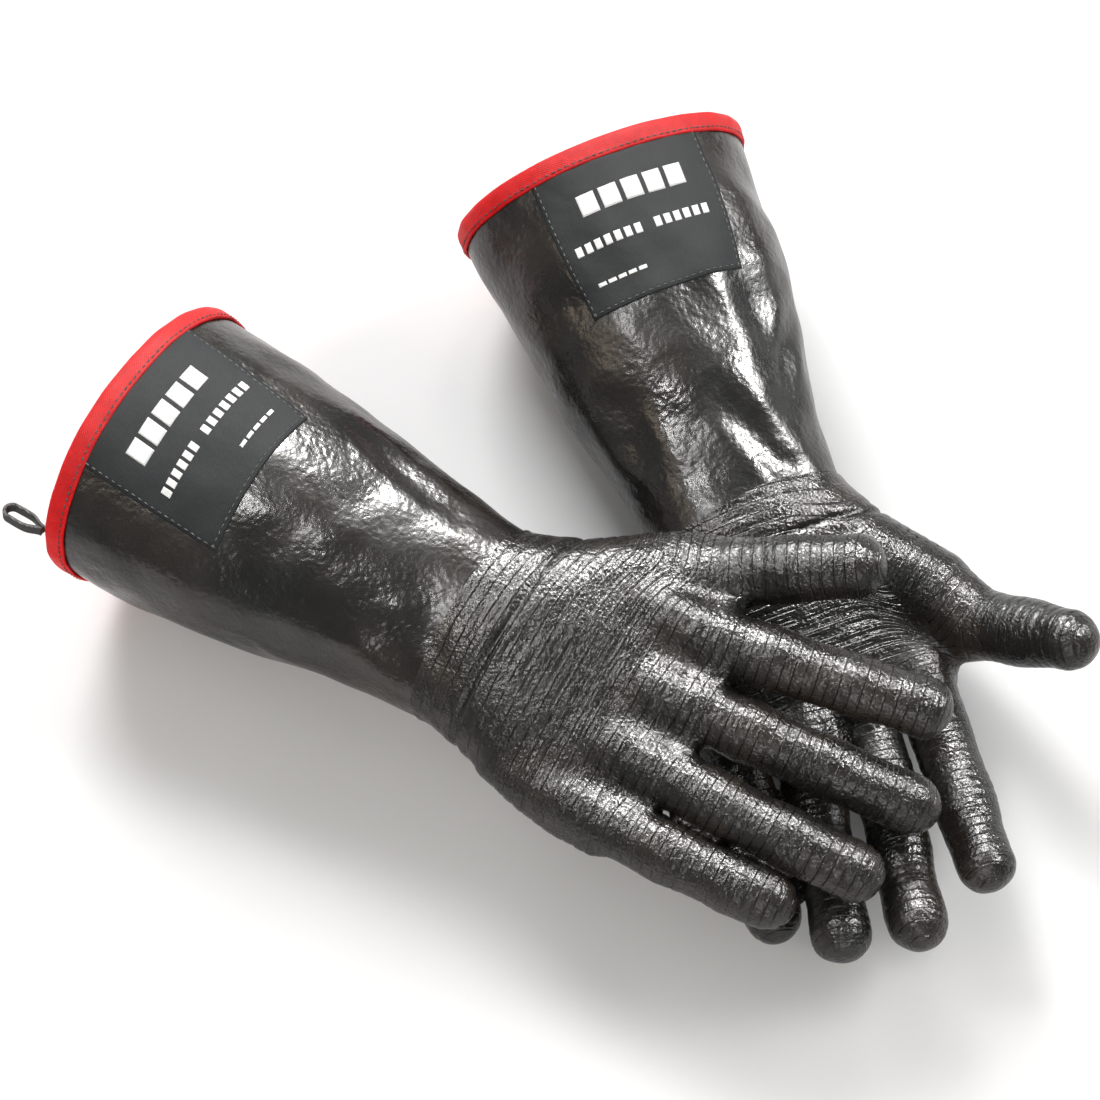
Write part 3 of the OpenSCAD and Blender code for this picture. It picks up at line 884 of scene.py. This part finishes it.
def cloth_patch(glove, name, x, y, low, wall, cols, rows, material, crown=0.0):
    """A thin plate that follows the sleeve: x from the cuff's edge, y round the sleeve."""
    s = sizes()
    u, v = np.meshgrid(np.linspace(0, 1, rows), np.linspace(0, 1, cols), indexing="ij")
    t = 1 - lerp(x[0], x[1], u) / s.sleeve_length
    a = LAID[glove]["label"] - lerp(y[0], y[1], v) * 360 / cuff_round()
    edge = np.minimum.reduce([u * (x[1] - x[0]), (1 - u) * (x[1] - x[0]),
                              v * (y[1] - y[0]), (1 - v) * (y[1] - y[0])]).ravel()
    lift = crown * ease(edge / (2.2 * MM))
    top = sleeve_at(glove, t, a, low + wall + lift)
    bottom = sleeve_at(glove, t, a, np.full(top.shape[0], low))
    k, i = np.meshgrid(np.arange(rows - 1), np.arange(cols - 1), indexing="ij")
    c = (k * cols + i).ravel()
    faces = np.stack([c, c + 1, c + cols + 1, c + cols], 1)
    sample = face_normals(top, faces).sum(0)
    middle = sleeve_at(glove, [t.mean()], [a.mean()], 5 * MM)[0] - top.mean(0)
    if sample @ middle < 0:
        faces = faces[:, ::-1]
    uv = np.stack([lerp(x[0], x[1], u).ravel(), lerp(y[0], y[1], v).ravel()], 1)
    world = laid(glove, np.concatenate([top, bottom]))
    return put_mesh(f"{glove}_{name}", world, walled(turned_faces(glove, faces), len(top)),
                    material, uv=np.tile(uv, (2, 1)))


def joined(name, pieces):
    """Pieces of one finish and body made into one."""
    with bpy.context.temp_override(active_object=pieces[0], selected_editable_objects=pieces,
                                   selected_objects=pieces):
        bpy.ops.object.join()
    pieces[0].name = pieces[0].data.name = name
    return pieces[0]


def stitch_tree():
    """Short stitches laid end to end along the edges of a mesh."""
    tree = bpy.data.node_groups.get("Stitches")
    if tree:
        return tree
    tree = bpy.data.node_groups.new("Stitches", "GeometryNodeTree")
    face = tree.interface
    face.new_socket("Geometry", in_out="INPUT", socket_type="NodeSocketGeometry")
    for name in ("Pitch", "Stitch Length", "Thread Diameter"):
        face.new_socket(name, in_out="INPUT", socket_type="NodeSocketFloat")
    face.new_socket("Thread", in_out="INPUT", socket_type="NodeSocketMaterial")
    face.new_socket("Geometry", in_out="OUTPUT", socket_type="NodeSocketGeometry")
    names = ("NodeGroupInput", "NodeGroupOutput", "GeometryNodeMeshToCurve",
             "GeometryNodeResampleCurve", "GeometryNodeCurveToPoints", "GeometryNodeMeshUVSphere",
             "ShaderNodeCombineXYZ", "GeometryNodeInstanceOnPoints",
             "GeometryNodeRealizeInstances", "GeometryNodeSetShadeSmooth",
             "GeometryNodeSetMaterial")
    ins, outs, path, even, points, shape, size, place, real, smooth, paint = (
        tree.nodes.new(name) for name in names)
    even.mode, points.mode = "LENGTH", "EVALUATED"
    for name, value in (("Segments", 8), ("Rings", 6), ("Radius", 0.5)):
        shape.inputs[name].default_value = value
    for a, leaves, b, enters in (
            (ins, "Geometry", path, "Mesh"), (path, "Curve", even, "Curve"),
            (ins, "Pitch", even, "Length"), (even, "Curve", points, "Curve"),
            (points, "Points", place, "Points"), (points, "Rotation", place, "Rotation"),
            (ins, "Thread Diameter", size, "X"), (ins, "Thread Diameter", size, "Y"),
            (ins, "Stitch Length", size, "Z"), (shape, "Mesh", place, "Instance"),
            (size, "Vector", place, "Scale"), (place, "Instances", real, "Geometry"),
            (real, "Geometry", smooth, "Geometry"), (smooth, "Geometry", paint, "Geometry"),
            (ins, "Thread", paint, "Material"), (paint, "Geometry", outs, "Geometry")):
        tree.links.new(a.outputs[leaves], b.inputs[enters])
    return tree


def stitches_along(name, paths, material):
    """A plain mesh of stitches along runs of points, each run with its own edges."""
    tr = trim()
    me = bpy.data.meshes.new(name)
    points, edges = [], []
    for path, closed in paths:
        first = len(points)
        points += [tuple(p) for p in path]
        edges += [(first + k, first + k + 1) for k in range(len(path) - 1)]
        if closed:
            edges.append((len(points) - 1, first))
    me.from_pydata(points, edges, [])
    guide = bpy.data.objects.new(name + "_guide", me)
    bpy.context.collection.objects.link(guide)
    tree = stitch_tree()
    modifier = guide.modifiers.new("Stitches", "NODES")
    modifier.node_group = tree
    values = {"Pitch": tr.stitch_pitch, "Stitch Length": tr.stitch_length,
              "Thread Diameter": tr.thread_d, "Thread": material}
    for socket in tree.interface.items_tree:
        if socket.in_out == "INPUT" and socket.name in values:
            modifier[socket.identifier] = values[socket.name]
    bpy.context.view_layer.update()
    graph = bpy.context.evaluated_depsgraph_get()
    mesh = bpy.data.meshes.new_from_object(guide.evaluated_get(graph))
    bpy.data.objects.remove(guide)
    if not mesh.polygons:
        raise RuntimeError(f"{name}: no stitches were made")
    mesh.name = name
    if not mesh.materials:
        mesh.materials.append(material)
    piece = bpy.data.objects.new(name, mesh)
    bpy.context.collection.objects.link(piece)
    return piece


# ---- operators ----


class GLOVES_OT_sleeves(bpy.types.Operator):
    """Make the smooth rubber sleeves"""
    bl_idname = "gloves.sleeves"
    bl_label = "Sleeves"

    def execute(self, context):
        s = sizes()
        for glove in LAID:
            ts = np.linspace(1, -0.012, 136)
            piece = sleeve_tube(glove, "sleeve", 0, s.coating_wall, ts, 260, made("sleeve_rubber"))
            settle(piece, f"{glove}_glove", "sleeve_rubber", f"{glove}_gauntlet")
        return {"FINISHED"}


class GLOVES_OT_hands(bpy.types.Operator):
    """Make the crinkled hands and fingers"""
    bl_idname = "gloves.hands"
    bl_label = "Hands and fingers"

    def execute(self, context):
        s, fin = sizes(), finish()
        for seed, glove in enumerate(LAID):
            step = s.skin_step * 1
            points, faces, out = hand_skin(glove, 0, step, 0.0)
            row, knuckle = crease_phase(glove, points)
            soft = soft_relief(glove, points)
            crease = crease_rows(row, fin.crease_pitch, points, 40 + seed)
            squeezed = points * (1, 0.45, 0.45)
            fine = 0.16 * MM * waves(squeezed, 7 * MM, 60 + seed, 14)
            groove_at = GROOVE_AT + 2.0 * MM * waves(points, 70 * MM, 70 + seed)
            groove = np.exp(-(((points[:, 0] - groove_at) / GROOVE_WIDE) ** 2))
            edge = ease(points[:, 0] / (3 * MM))
            coat = s.hand_step * lerp(1.0, 0.5, edge)
            relief = soft + coat + edge * (
                fine - fin.crease_depth * crease * lerp(1, 1.3, knuckle) - GROOVE_DEEP * groove)
            outer = points + relief[:, None] * out
            inner = points + (soft - s.coating_wall + 0.2 * MM)[:, None] * out
            normals = point_normals(outer, faces)
            pieces = split_pieces(glove, "skin", outer, inner, faces, normals,
                                  dict(crease_row=row, knuckle_share=knuckle,
                                       collar_groove_shade=groove), made("hand_rubber"))
            settle(pieces.pop("hand"), f"{glove}_glove", "hand_rubber", f"{glove}_hand_shell")
            for name, piece in pieces.items():
                bend_with_glove(piece, f"{glove}_{name}_stall")
        return {"FINISHED"}


class GLOVES_OT_linings(bpy.types.Operator):
    """Make the knitted linings of the sleeves, hands and fingers"""
    bl_idname = "gloves.linings"
    bl_label = "Linings"

    def execute(self, context):
        s = sizes()
        inset = s.coating_wall + s.layer_gap
        for glove in LAID:
            piece = sleeve_tube(glove, "sleeve_lining", inset, s.liner_wall,
                                np.linspace(1, 0.0, 60), 120, made("knit_liner"))
            settle(piece, f"{glove}_glove", "knit_liner", f"{glove}_sleeve_liner")
            points, faces, out = hand_skin(glove, inset, s.lining_step, 0.4 * MM)
            soft = soft_relief(glove, points) - 0.3 * MM
            outer = points + soft[:, None] * out
            inner = points + (soft - s.liner_wall)[:, None] * out
            pieces = split_pieces(glove, "lining", outer, inner, faces,
                                  point_normals(outer, faces), {}, made("knit_liner"))
            settle(pieces.pop("hand"), f"{glove}_glove", "knit_liner", f"{glove}_hand_liner")
            for name, piece in pieces.items():
                bend_with_glove(piece, f"{glove}_{name}_liner")
        return {"FINISHED"}


class GLOVES_OT_bindings(bpy.types.Operator):
    """Make the red bindings and their stitching"""
    bl_idname = "gloves.bindings"
    bl_label = "Bindings"

    def execute(self, context):
        s, tr = sizes(), trim()
        bore = cuff_layers()
        for glove in LAID:
            w, e, width = tr.binding_wall, BINDING_GAP, tr.binding_width
            # Across the folded strip: how far past the cuff's edge, and how far out of its skin
            across = [(-width, e), (-width, e + 0.7 * w), (-width + 0.5 * MM, e + w),
                      (-width * 0.72, e + 0.92 * w), (-width * 0.5, e + 1.12 * w),
                      (-width * 0.2, e + 1.2 * w), (0.4 * MM, e + 1.05 * w)]
            middle = -bore / 2
            half = bore / 2 + e + 1.05 * w
            across += [(0.4 * MM + (w + 0.1 * MM) * math.sin(b), middle + half * math.cos(b))
                       for b in np.radians([30, 60, 90, 120, 150])]
            across += [(0.4 * MM, -bore - e - 1.05 * w), (-width * 0.6, -bore - e - 1.05 * w),
                       (-width, -bore - e - 0.8 * w), (-width, -bore - e),
                       (-0.1 * MM, -bore - e), (e, -bore / 2), (-0.1 * MM, e)]
            around = 300
            a = np.arange(around) * 360 / around
            rings, maps, run = [], [], 0.0
            for k, (x, out) in enumerate(across):
                if k:
                    run += math.dist(across[k], across[k - 1])
                t = np.full(around, 1 + x / s.sleeve_length)
                ripple = 0.12 * MM * np.sin(np.radians(a) * 23) * (out > 0)
                rings.append(sleeve_at(glove, t, a, out + ripple))
                maps.append(np.stack([a / 360 * cuff_round(), np.full(around, run)], 1))
            points = np.concatenate(rings)
            faces = outward(points, tube_faces(len(rings) + 1, around) % len(points))
            piece = put_mesh(f"{glove}_binding", laid(glove, points), turned_faces(glove, faces),
                             made("red_binding"), uv=np.concatenate(maps))
            settle(piece, f"{glove}_glove", "red_binding", f"{glove}_cuff_binding")
            row = 1 - (width - 1.5 * MM) / s.sleeve_length
            path = sleeve_at(glove, np.full(360, row), np.arange(360), e + w + 0.05 * MM)
            piece = stitches_along(f"{glove}_binding_stitches", [(laid(glove, path), True)],
                                   made("thread"))
            settle(piece, f"{glove}_glove", "thread", f"{glove}_binding_stitching")
        return {"FINISHED"}


class GLOVES_OT_labels(bpy.types.Operator):
    """Make the sewn labels, their plain bars and their stitches"""
    bl_idname = "gloves.labels"
    bl_label = "Labels"

    def execute(self, context):
        s, tr = sizes(), trim()
        for glove in LAID:
            x0 = tr.binding_width - 1.0 * MM
            x = (x0, tr.binding_width + tr.label_length)
            y = (-tr.label_width / 2, tr.label_width / 2)
            patch = cloth_patch(glove, "label", x, y, LABEL_GAP, tr.label_wall * 0.6, 90, 76,
                                made("label_cloth"), crown=LABEL_CROWN)
            settle(patch, f"{glove}_glove", "label_cloth", f"{glove}_label_patch")
            top = LABEL_GAP + tr.label_wall * 0.6 + LABEL_CROWN
            bars = []
            for r, (start, end, runs) in enumerate(PRINT_ROWS):
                for lo, hi in runs:
                    bars.append(cloth_patch(
                        glove, f"bar_{r}_{len(bars)}",
                        (tr.binding_width + start * tr.label_length,
                         tr.binding_width + end * tr.label_length),
                        (lo * tr.label_width, hi * tr.label_width),
                        top - INK_SUNK, INK_WALL, 10, 8, made("label_ink")))
            ink = joined(f"{glove}_label_bars", bars)
            settle(ink, f"{glove}_glove", "label_ink", f"{glove}_label_print")
            (xa, xb), (ya, yb) = ((lo + LABEL_SEAM, hi - LABEL_SEAM) for lo, hi in (x, y))
            corners = [(xa, ya), (xb, ya), (xb, yb), (xa, yb)]
            paths = []
            for (xa, ya), (xb, yb) in zip(corners, corners[1:]):
                u = np.linspace(0, 1, 40)
                run = sleeve_at(glove, 1 - lerp(xa, xb, u) / s.sleeve_length,
                                LAID[glove]["label"] - lerp(ya, yb, u) * 360 / cuff_round(),
                                top - SEAM_SUNK)
                paths.append((laid(glove, run), False))
            seam = stitches_along(f"{glove}_label_stitches", paths, made("thread"))
            settle(seam, f"{glove}_glove", "thread")
        return {"FINISHED"}


def bar_run(start, pitch, wide, count, left_out=None):
    """Evenly spaced bars round the sleeve, from and to as shares of the label's width."""
    return tuple((start + pitch * k, start + pitch * k + wide)
                 for k in range(count) if k != left_out)


# Rows of plain bars on the label: from and to along the sleeve as shares of the label's length,
# and the bars of the row
PRINT_ROWS = (
    (0.20, 0.35, bar_run(-0.31, 0.126, 0.10, 5)),
    (0.52, 0.59, bar_run(-0.38, 0.058, 0.038, 14, left_out=6)),
    (0.80, 0.825, bar_run(0.08, 0.062, 0.048, 5)),
)


class GLOVES_OT_loops(bpy.types.Operator):
    """Make the hanging loops"""
    bl_idname = "gloves.loops"
    bl_label = "Hanging loops"

    def execute(self, context):
        tr, bore = trim(), cuff_layers()
        r = tr.loop_strap / 2 + 1 * MM
        bow = tr.loop_reach - r - tr.loop_wall / 2
        neck = [(-0.0014, 0.00075), (-0.003, 0.001), (-bow / 2, r * 0.98)]
        bend = [(r * math.cos(b) - bow, r * math.sin(b)) for b in np.radians(range(90, 271, 15))]
        line = smooth_line(np.array(neck + bend + [(x, -y) for x, y in neck[::-1]]), 4)
        for glove in LAID:
            angle = LAID[glove]["loop"]
            root = sleeve_at(glove, [1.0], [angle], -bore / 2, relief=False)[0]
            root[0] -= BINDING_GAP + tr.binding_wall + LOOP_CLEAR
            turn = math.radians(angle + LAID[glove]["cuff"][0])
            out = np.array([0, math.cos(turn), math.sin(turn)])
            side = np.array([0, -math.sin(turn), math.cos(turn)])
            way = np.gradient(line, axis=0)
            way /= np.linalg.norm(way, axis=1, keepdims=True)
            n = np.stack([-way[:, 1], way[:, 0]], 1) * tr.loop_wall / 2
            half = tr.loop_strap / 2
            across = [(1, 0.8), (0.8, 1), (0.45, 0.97), (0, 0.93), (-0.45, 0.97), (-0.8, 1),
                      (-1, 0.8), (-1, 0), (-1, -0.8), (-0.8, -1), (-0.45, -0.97), (0, -0.93),
                      (0.45, -0.97), (0.8, -1), (1, -0.8), (1, 0)]
            rings = []
            for k in range(len(line)):
                for c, d in across:
                    p = line[k] + n[k] * d
                    rings.append(root + np.array([p[0], 0, 0]) + out * p[1] + side * half * c)
            count = len(across)
            points = np.array(rings)
            faces = tube_faces(len(line), count)
            last = (len(line) - 1) * count
            caps = [[last + k, last + k + 1, last + count - 2 - k, last + count - 1 - k]
                    for k in range(count // 2 - 1)]
            caps += [[k + 1, k, count - 1 - k, count - 2 - k] for k in range(count // 2 - 1)]
            faces = outward(points, np.concatenate([faces, np.array(caps)]))
            piece = put_mesh(f"{glove}_loop_strap", laid(glove, points),
                             turned_faces(glove, faces), made("loop_webbing"))
            settle(piece, f"{glove}_loop", "loop_webbing", f"{glove}_hanging_loop")
            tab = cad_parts[f"{glove}_loop_tab"]
            for slot in tab.material_slots:
                slot.material = made("loop_webbing")
        return {"FINISHED"}


def smooth_line(points, parts):
    """A run of points made finer by a curve through them."""
    ends = np.concatenate([[2 * points[0] - points[1]], points, [2 * points[-1] - points[-2]]])
    fine = []
    for k in range(len(points) - 1):
        a, b, c, d = ends[k:k + 4]
        for j in range(parts):
            t = j / parts
            fine.append(0.5 * (2 * b + (c - a) * t + (2 * a - 5 * b + 4 * c - d) * t ** 2
                               + (3 * b - a - 3 * c + d) * t ** 3))
    return np.array(fine + [points[-1]])


# The studio's lamps: name, place (m), width and height (m), power (W), tint, and whether a lamp
# only shows in the gloss, where it draws the long streaks on the sleeves
WHITE, COOL = (1.0, 1.0, 1.0), (1.0, 0.98, 0.96)
LAMPS = (
    ("streak_light", (0.20, 1.20, 1.45), 0.30, 0.30, 105.0, COOL, True),
    ("ridge_light", (-0.78, 0.42, 1.50), 0.24, 0.24, 20.0, COOL, True),
    ("left_streak_light", (-0.50, -0.30, 1.51), 0.10, 0.30, 13.0, COOL, True),
    ("right_streak_light", (1.15, 0.43, 1.15), 0.16, 0.30, 44.0, COOL, True),
    ("key_light", (-0.7, 1.9, 1.5), 1.0, 1.0, 62.0, WHITE, False),
    ("side_light", (1.9, 0.6, 1.3), 1.0, 1.0, 22.0, WHITE, False),
    ("warm_light", (-1.15, -0.45, 1.15), 0.35, 0.35, 2.0, (1.0, 0.80, 0.58), False),
    ("front_light", (0.3, -2.2, 1.2), 1.2, 0.8, 20.0, (1.0, 0.99, 0.97), False),
)


class GLOVES_OT_stage(bpy.types.Operator):
    """Make the floor, the studio light and the camera"""
    bl_idname = "gloves.stage"
    bl_label = "Stage"

    def execute(self, context):
        scene, st = context.scene, context.scene.glove_stage
        me = bpy.data.meshes.new("floor")
        me.from_pydata([(-4, -4, 0), (4, -4, 0), (4, 4, 0), (-4, 4, 0)], [], [(0, 1, 2, 3)])
        me.materials.append(made("floor_paint"))
        floor = bpy.data.objects.new("floor", me)
        scene.collection.objects.link(floor)
        for name, at, wide, tall, watts, tint, gloss_only in LAMPS:
            lamp = bpy.data.lights.new(name, "AREA")
            lamp.shape = "RECTANGLE"
            lamp.size, lamp.size_y = wide, tall
            lamp.energy = watts * st.light
            lamp.color = tint
            holder = bpy.data.objects.new(name, lamp)
            holder.location = at
            holder.rotation_euler = (-Vector(at)).to_track_quat("-Z", "Y").to_euler()
            holder.visible_diffuse = not gloss_only
            scene.collection.objects.link(holder)
        world = bpy.data.worlds.new("studio")
        world.use_nodes = True
        sky = world.node_tree.nodes["Background"]
        sky.inputs["Color"].default_value = (1, 1, 1, 1)
        sky.inputs["Strength"].default_value = 0.34 * st.light
        scene.world = world
        scene.view_settings.view_transform = "Standard"
        back = Vector((0, -math.cos(st.elevation), math.sin(st.elevation)))
        camera = bpy.data.objects.new("camera", bpy.data.cameras.new("camera"))
        camera.data.sensor_width, camera.data.lens = 36, st.lens
        camera.data.clip_start = 0.05
        camera.location = Vector(st.aim) + back * st.distance
        camera.rotation_euler = (-back).to_track_quat("-Z", "Y").to_euler()
        scene.collection.objects.link(camera)
        scene.camera = camera
        return {"FINISHED"}


class GLOVES_PT_panel(bpy.types.Panel):
    """The steps and sizes of the gloves"""
    bl_idname = "GLOVES_PT_panel"
    bl_label = "Rubber gauntlet gloves"
    bl_space_type = "VIEW_3D"
    bl_region_type = "UI"
    bl_category = "Gloves"

    def draw(self, context):
        for step in STEPS:
            self.layout.operator(step.bl_idname)
        for group in (context.scene.glove_sizes, context.scene.glove_trim,
                      context.scene.glove_finish, context.scene.glove_stage):
            box = self.layout.box()
            for name in group.__annotations__:
                box.prop(group, name)


STEPS = (GLOVES_OT_stage, GLOVES_OT_sleeves, GLOVES_OT_hands, GLOVES_OT_linings,
         GLOVES_OT_bindings, GLOVES_OT_labels, GLOVES_OT_loops)
GROUPS = {"glove_sizes": GLOVES_PG_sizes, "glove_trim": GLOVES_PG_trim,
          "glove_finish": GLOVES_PG_finish, "glove_stage": GLOVES_PG_stage}


def register():
    for group in GROUPS.values():
        bpy.utils.register_class(group)
    for name, group in GROUPS.items():
        setattr(bpy.types.Scene, name, bpy.props.PointerProperty(type=group))
    for step in STEPS:
        bpy.utils.register_class(step)
    bpy.utils.register_class(GLOVES_PT_panel)


def unregister():
    bpy.utils.unregister_class(GLOVES_PT_panel)
    for step in STEPS:
        bpy.utils.unregister_class(step)
    for name, group in GROUPS.items():
        delattr(bpy.types.Scene, name)
        bpy.utils.unregister_class(group)


def main():
    register()
    bpy.ops.gloves.stage()
    bpy.ops.gloves.sleeves()
    bpy.ops.gloves.hands()
    bpy.ops.gloves.linings()
    bpy.ops.gloves.bindings()
    bpy.ops.gloves.labels()
    bpy.ops.gloves.loops()


if __name__ == "__main__":
    main()
